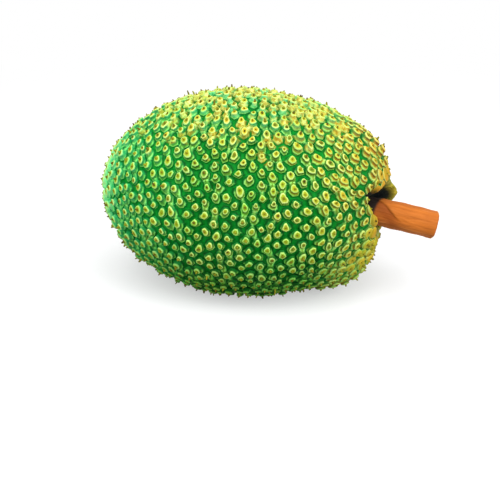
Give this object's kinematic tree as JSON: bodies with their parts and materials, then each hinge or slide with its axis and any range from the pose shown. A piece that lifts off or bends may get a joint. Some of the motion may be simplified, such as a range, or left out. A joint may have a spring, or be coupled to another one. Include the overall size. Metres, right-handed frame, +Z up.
{
  "type": "breadfruit",
  "caption": "Whole oval spiny green tropical fruit lying on its side, with a short cut stalk set in a hollow at one end.",
  "frame": {"origin": "centre of the small flat spot that the fruit rests on, below the middle of the fruit", "axes": "+Z up, +X along the fruit towards the stalk"},
  "size_m": [0.2123, 0.1309, 0.1254],
  "materials": {
    "rind": "satin, waxy green valleys with pale yellow spine rims and ochre pits",
    "stalk_bark": "matt, dry orange-brown bark with lengthwise fibres"
  },
  "bodies": {
    "root": {"fruit": "rind", "stalk": "stalk_bark"}
  },
  "joints": []
}
